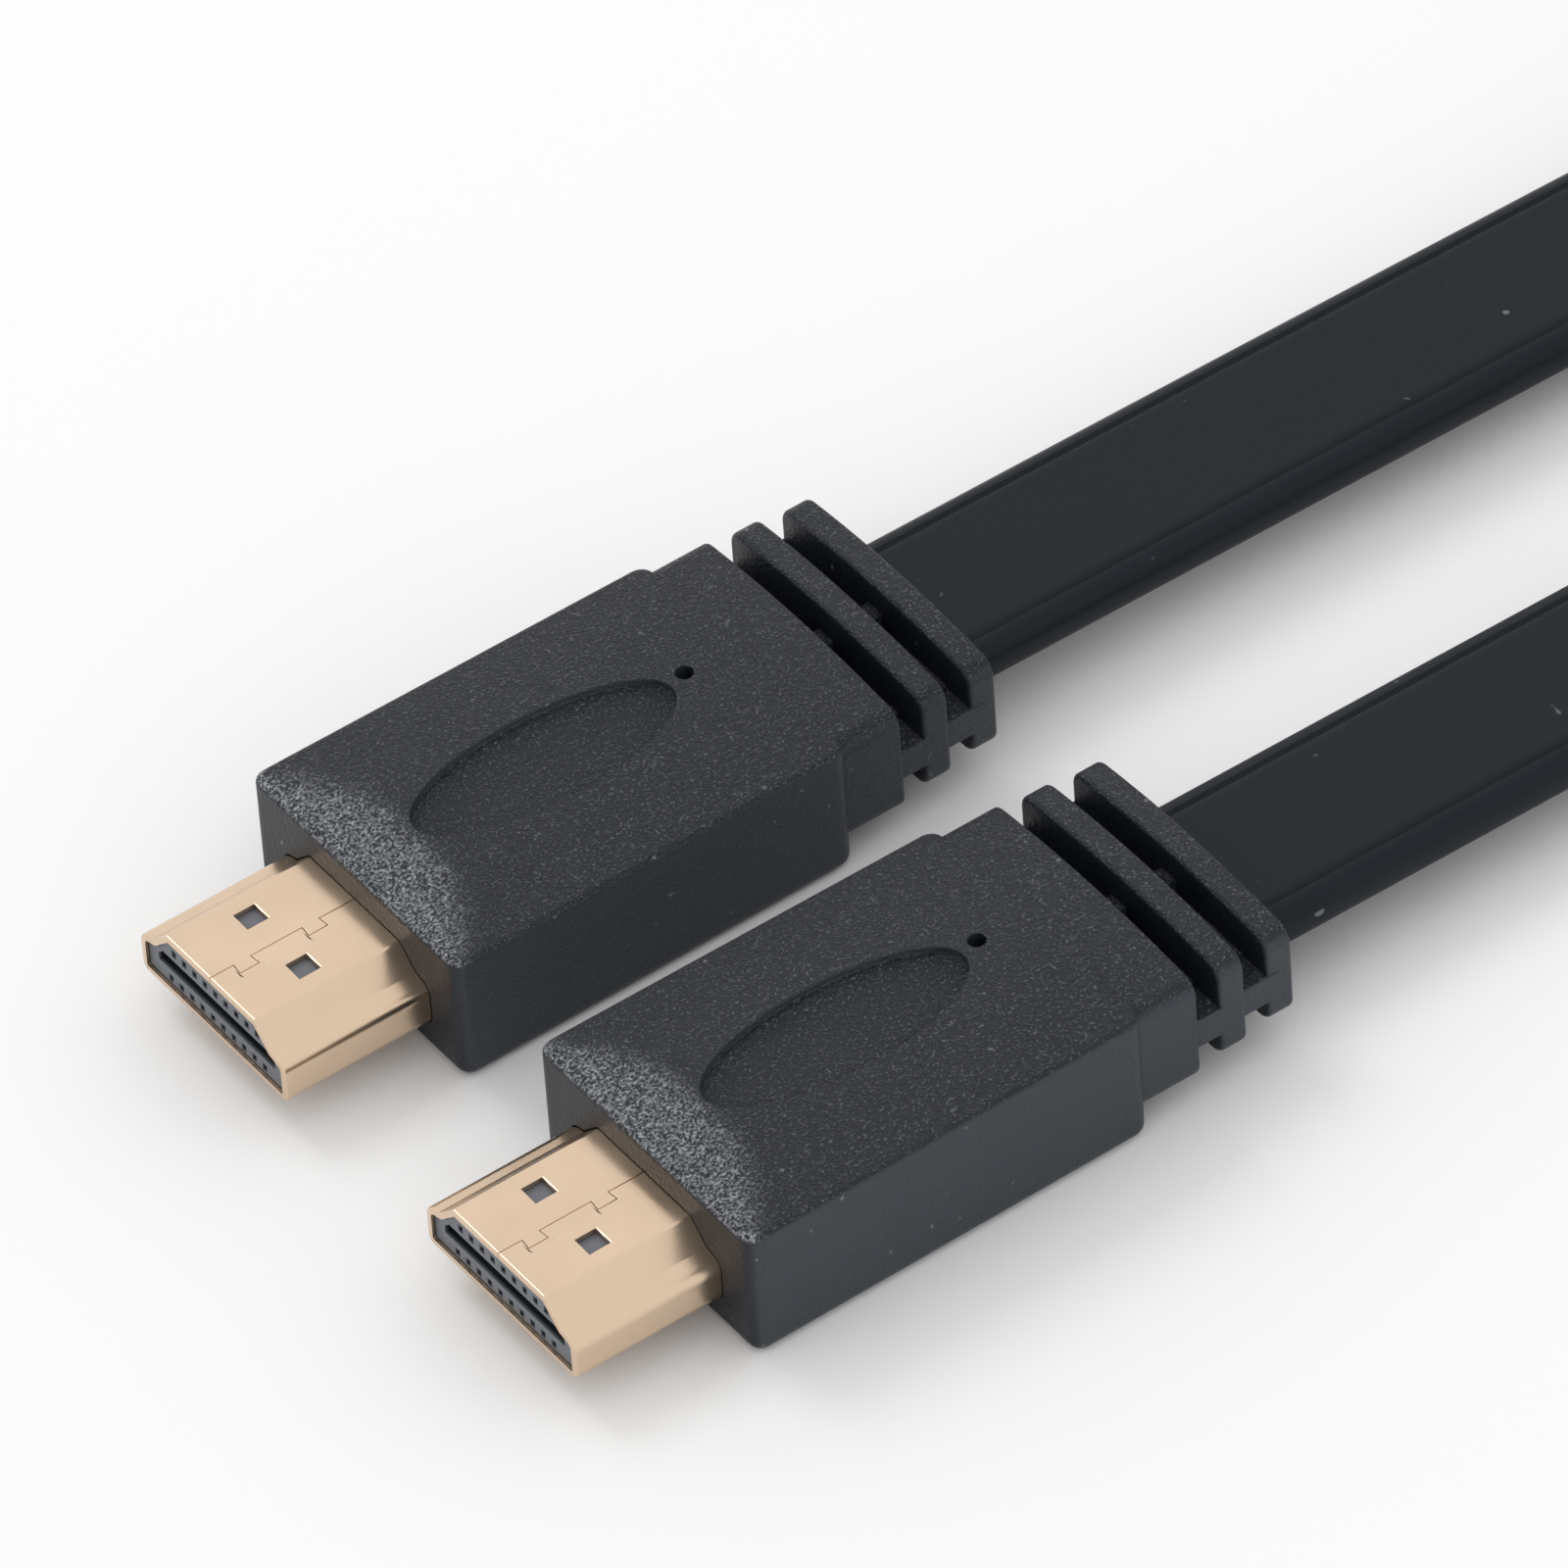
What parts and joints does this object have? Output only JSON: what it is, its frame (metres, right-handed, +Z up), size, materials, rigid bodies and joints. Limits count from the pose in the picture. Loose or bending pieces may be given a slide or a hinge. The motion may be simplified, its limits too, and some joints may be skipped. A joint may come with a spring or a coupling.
{
  "type": "hdmi cable",
  "caption": "Flat black digital video lead with a gold-shelled moulded plug at each end, both ends wound into one flat coil.",
  "frame": {"origin": "on the floor, midway between the two plugs that lie side by side", "axes": "+X from the plugs' tips along the lead to the coil, +Y across towards plug a, +Z up"},
  "size_m": [0.235, 0.1122, 0.0121],
  "materials": {
    "gold_shell": "satin pale gold plating",
    "contact_gold": "gold plating",
    "insert_plastic": "smooth blue-grey",
    "grip_plastic": "fine sparked grain, charcoal",
    "lead_jacket": "smooth satin charcoal"
  },
  "bodies": {
    "root": {"plug_a_shell": "gold_shell", "plug_a_insert": "insert_plastic", "plug_a_grip": "grip_plastic", "plug_b_shell": "gold_shell", "plug_b_insert": "insert_plastic", "plug_b_grip": "grip_plastic", "plug_a_contact_lower_1": "contact_gold", "plug_a_contact_lower_2": "contact_gold", "plug_a_contact_lower_3": "contact_gold", "plug_a_contact_lower_4": "contact_gold", "plug_a_contact_lower_5": "contact_gold", "plug_a_contact_lower_6": "contact_gold", "plug_a_contact_lower_7": "contact_gold", "plug_a_contact_lower_8": "contact_gold", "plug_a_contact_lower_9": "contact_gold", "plug_a_contact_lower_10": "contact_gold", "plug_a_contact_upper_1": "contact_gold", "plug_a_contact_upper_2": "contact_gold", "plug_a_contact_upper_3": "contact_gold", "plug_a_contact_upper_4": "contact_gold", "plug_a_contact_upper_5": "contact_gold", "plug_a_contact_upper_6": "contact_gold", "plug_a_contact_upper_7": "contact_gold", "plug_a_contact_upper_8": "contact_gold", "plug_a_contact_upper_9": "contact_gold", "plug_b_contact_lower_1": "contact_gold", "plug_b_contact_lower_2": "contact_gold", "plug_b_contact_lower_3": "contact_gold", "plug_b_contact_lower_4": "contact_gold", "plug_b_contact_lower_5": "contact_gold", "plug_b_contact_lower_6": "contact_gold", "plug_b_contact_lower_7": "contact_gold", "plug_b_contact_lower_8": "contact_gold", "plug_b_contact_lower_9": "contact_gold", "plug_b_contact_lower_10": "contact_gold", "plug_b_contact_upper_1": "contact_gold", "plug_b_contact_upper_2": "contact_gold", "plug_b_contact_upper_3": "contact_gold", "plug_b_contact_upper_4": "contact_gold", "plug_b_contact_upper_5": "contact_gold", "plug_b_contact_upper_6": "contact_gold", "plug_b_contact_upper_7": "contact_gold", "plug_b_contact_upper_8": "contact_gold", "plug_b_contact_upper_9": "contact_gold", "lead_run_a": "lead_jacket", "lead_run_b": "lead_jacket", "lead_coil": "lead_jacket"}
  },
  "joints": []
}
